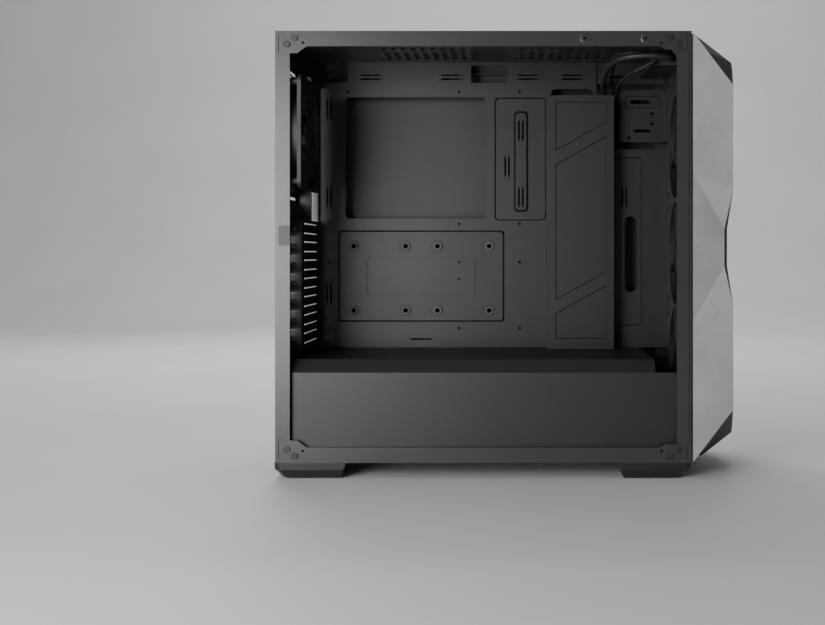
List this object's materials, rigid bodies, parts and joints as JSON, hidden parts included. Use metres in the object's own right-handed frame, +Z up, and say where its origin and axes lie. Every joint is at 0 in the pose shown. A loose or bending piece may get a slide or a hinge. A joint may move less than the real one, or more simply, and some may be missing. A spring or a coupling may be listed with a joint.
{
  "type": "desktop computer tower",
  "caption": "Mid-tower computer case with its left side open, showing a bare mainboard tray, slot covers, power supply shroud, fans, drive trays and an angular mesh front.",
  "frame": {"origin": "on the ground, under the middle of the case's overall box", "axes": "+Z up, front facing -Y, open left side facing -X, rear facing +Y"},
  "size_m": [0.217, 0.4983, 0.4684],
  "materials": {
    "frame_steel": "satin black powder coat",
    "interior_steel": "fine textured black powder coat",
    "rubber": "matt",
    "black_plastic": "fine grained",
    "blade_plastic": "semi-gloss",
    "dark_fasteners": "blackened steel",
    "psu_steel": "satin black",
    "drive_alloy": "cast and machined",
    "grey_plastic": "satin silver-grey",
    "mesh": "black perforated sheet",
    "filter": "black frame and mesh",
    "sockets": "nickel plated",
    "foot_plastic": "satin dark grey",
    "lead_jacket": "matt"
  },
  "bodies": {
    "chassis": {"floor_pan": "frame_steel", "roof_panel": "frame_steel", "rear_panel": "frame_steel", "front_wall": "frame_steel", "motherboard_tray": "interior_steel", "psu_shroud": "interior_steel", "cable_cover": "interior_steel", "front_bracket": "interior_steel", "ssd_bracket": "interior_steel", "drive_cage": "interior_steel", "slot_cover_1": "interior_steel", "slot_cover_2": "interior_steel", "slot_cover_3": "interior_steel", "slot_cover_4": "interior_steel", "slot_cover_5": "interior_steel", "slot_cover_6": "interior_steel", "slot_cover_7": "interior_steel", "ssd_grommets": "rubber", "foot_pads": "rubber", "post_insert": "black_plastic", "rear_fan_frame": "black_plastic", "front_fan_1_frame": "black_plastic", "front_fan_2_frame": "black_plastic", "front_fan_3_frame": "black_plastic", "psu_inlet": "black_plastic", "io_panel": "black_plastic", "slot_screws": "dark_fasteners", "corner_rivets": "dark_fasteners", "fan_screws": "dark_fasteners", "psu_housing": "psu_steel", "psu_end_plate": "psu_steel", "psu_fan_guard": "psu_steel", "io_sockets": "sockets", "foot_rear_left": "foot_plastic", "foot_rear_right": "foot_plastic", "foot_front_left": "foot_plastic", "foot_front_right": "foot_plastic", "front_panel_leads": "lead_jacket"},
    "rear_fan": {"rear_fan_rotor": "blade_plastic"},
    "front_fan_1": {"front_fan_1_rotor": "blade_plastic"},
    "front_fan_2": {"front_fan_2_rotor": "blade_plastic"},
    "front_fan_3": {"front_fan_3_rotor": "blade_plastic"},
    "psu_fan": {"psu_rotor": "blade_plastic"},
    "psu_rocker": {"psu_switch": "black_plastic"},
    "upper_tray": {"drive_tray_upper": "black_plastic"},
    "lower_tray": {"drive_tray_lower": "black_plastic", "hard_drive": "drive_alloy"},
    "side_panel": {"right_panel": "interior_steel"},
    "upper_screw": {"thumbscrew_upper": "dark_fasteners"},
    "lower_screw": {"thumbscrew_lower": "dark_fasteners"},
    "fascia": {"front_shell": "black_plastic", "cheek_left": "grey_plastic", "cheek_right": "grey_plastic", "front_mesh": "mesh", "front_filter": "filter"},
    "power": {"power_button": "black_plastic"},
    "reset": {"reset_button": "black_plastic"},
    "roof_filter": {"top_filter": "filter"},
    "floor_filter": {"psu_filter": "filter"}
  },
  "joints": [
    {"name": "rear_fan_spin", "type": "hinge", "parent": "chassis", "child": "rear_fan", "pos_m": [-0.039, 0.2345, 0.3645], "axis": [0, 1, 0], "continuous": true},
    {"name": "front_fan_1_spin", "type": "hinge", "parent": "chassis", "child": "front_fan_1", "pos_m": [0, -0.1965, 0.356], "axis": [0, 1, 0], "continuous": true},
    {"name": "front_fan_2_spin", "type": "hinge", "parent": "chassis", "child": "front_fan_2", "pos_m": [0, -0.1965, 0.236], "axis": [0, 1, 0], "continuous": true},
    {"name": "front_fan_3_spin", "type": "hinge", "parent": "chassis", "child": "front_fan_3", "pos_m": [0, -0.1965, 0.116], "axis": [0, 1, 0], "continuous": true},
    {"name": "psu_fan_spin", "type": "hinge", "parent": "chassis", "child": "psu_fan", "pos_m": [0, 0.177, 0.037], "axis": [0, 0, 1], "continuous": true},
    {"name": "psu_rocker_tilt", "type": "hinge", "parent": "chassis", "child": "psu_rocker", "pos_m": [0.017, 0.247, 0.049], "axis": [1, 0, 0], "range_deg": [-16, 0]},
    {"name": "upper_tray_slide", "type": "slide", "parent": "chassis", "child": "upper_tray", "axis": [1, 0, 0], "range_m": [0, 0.024]},
    {"name": "lower_tray_slide", "type": "slide", "parent": "chassis", "child": "lower_tray", "axis": [1, 0, 0], "range_m": [0, 0.024]},
    {"name": "side_panel_slide", "type": "slide", "parent": "chassis", "child": "side_panel", "axis": [0, 1, 0], "range_m": [0, 0.022]},
    {"name": "upper_screw_turn", "type": "hinge", "parent": "side_panel", "child": "upper_screw", "pos_m": [0.097, 0.248, 0.43], "axis": [0, 1, 0], "continuous": true},
    {"name": "lower_screw_turn", "type": "hinge", "parent": "side_panel", "child": "lower_screw", "pos_m": [0.097, 0.248, 0.06], "axis": [0, 1, 0], "continuous": true},
    {"name": "fascia_pull", "type": "slide", "parent": "chassis", "child": "fascia", "axis": [0, -1, 0], "range_m": [0, 0.04]},
    {"name": "power_press", "type": "slide", "parent": "chassis", "child": "power", "axis": [0, 0, -1], "range_m": [0, 0.0015], "stiffness_N_per_m": 500, "springref_m": -0.002},
    {"name": "reset_press", "type": "slide", "parent": "chassis", "child": "reset", "axis": [0, 0, -1], "range_m": [0, 0.0015], "stiffness_N_per_m": 400, "springref_m": -0.002},
    {"name": "roof_filter_lift", "type": "slide", "parent": "chassis", "child": "roof_filter", "axis": [0, 0, 1], "range_m": [0, 0.02]},
    {"name": "floor_filter_slide", "type": "slide", "parent": "chassis", "child": "floor_filter", "axis": [0, 1, 0], "range_m": [0, 0.12]}
  ]
}
